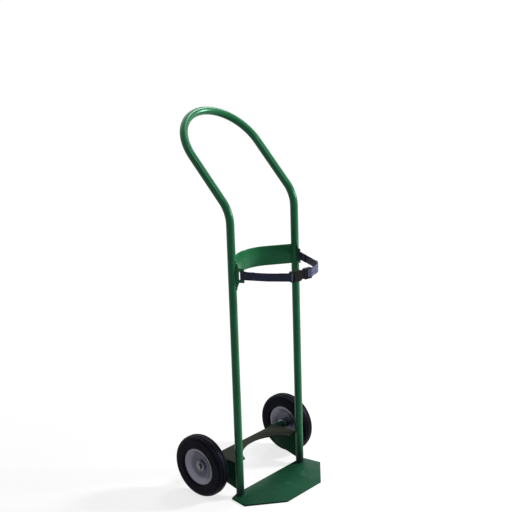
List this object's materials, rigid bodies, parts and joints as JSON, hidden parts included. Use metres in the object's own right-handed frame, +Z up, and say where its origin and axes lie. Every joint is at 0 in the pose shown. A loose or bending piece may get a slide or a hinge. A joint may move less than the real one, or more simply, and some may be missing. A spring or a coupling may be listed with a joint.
{
  "type": "gas cylinder trolley",
  "caption": "Hand trolley for a tall gas cylinder: bent tube frame with a looped handle, flat toe plate, curved cradle, solid wheels and a buckled webbing strap.",
  "frame": {"origin": "on the floor under the toe plate, on the axis of the load", "axes": "+Z up, the toe plate points to -Y and the handle leans back to +Y, left as seen from the front is -X"},
  "size_m": [0.4626, 0.4388, 1.2064],
  "materials": {
    "frame_paint": "gloss green paint",
    "plate_paint": "gloss green paint, darker",
    "zinc": "bright zinc plate",
    "rubber": "solid black rubber",
    "rim_paint": "grey paint on pressed steel",
    "bronze": "sintered bronze bush",
    "webbing": "dark navy woven webbing",
    "plastic": "gloss black plastic"
  },
  "bodies": {
    "frame": {"left_upright": "frame_paint", "right_upright": "frame_paint", "handle": "frame_paint", "toe_plate": "plate_paint", "saddle_plate": "plate_paint", "left_side_plate": "plate_paint", "right_side_plate": "plate_paint", "upper_cradle": "frame_paint", "left_strap_lug": "frame_paint", "right_strap_lug": "frame_paint", "axle": "zinc", "left_spacer": "plate_paint", "right_spacer": "plate_paint", "inner_washers": "zinc", "outer_washers": "zinc", "split_pins": "zinc", "left_strap": "webbing", "right_strap": "webbing", "buckle_socket": "plastic", "buckle_plug": "plastic"},
    "left_wheel": {"left_tyre": "rubber", "left_outer_rim": "rim_paint", "left_inner_rim": "rim_paint", "left_hub": "rim_paint", "left_outer_bush": "bronze", "left_inner_bush": "bronze"},
    "right_wheel": {"right_tyre": "rubber", "right_outer_rim": "rim_paint", "right_inner_rim": "rim_paint", "right_hub": "rim_paint", "right_outer_bush": "bronze", "right_inner_bush": "bronze"},
    "upper_latch": {"upper_latch_arm": "plastic"},
    "lower_latch": {"lower_latch_arm": "plastic"}
  },
  "joints": [
    {"name": "left_wheel_spin", "type": "hinge", "parent": "frame", "child": "left_wheel", "pos_m": [-0.209, 0.148, 0.1016], "axis": [1, 0, 0], "continuous": true},
    {"name": "right_wheel_spin", "type": "hinge", "parent": "frame", "child": "right_wheel", "pos_m": [0.209, 0.148, 0.1016], "axis": [1, 0, 0], "continuous": true},
    {"name": "upper_latch_squeeze", "type": "hinge", "parent": "frame", "child": "upper_latch", "pos_m": [-0.02307, -0.12286, 0.748], "axis": [-0.1908, -0.9816, 0], "range_deg": [0, 12], "stiffness_Nm_per_rad": 0.2, "springref_deg": -2.86},
    {"name": "lower_latch_squeeze", "type": "hinge", "parent": "frame", "child": "lower_latch", "pos_m": [-0.02307, -0.12286, 0.728], "axis": [0.1908, 0.9816, 0], "range_deg": [0, 12], "stiffness_Nm_per_rad": 0.2, "springref_deg": -2.86}
  ],
  "couplings": [
    {"joint": "lower_latch_squeeze", "follows": "upper_latch_squeeze", "ratio": 1}
  ]
}
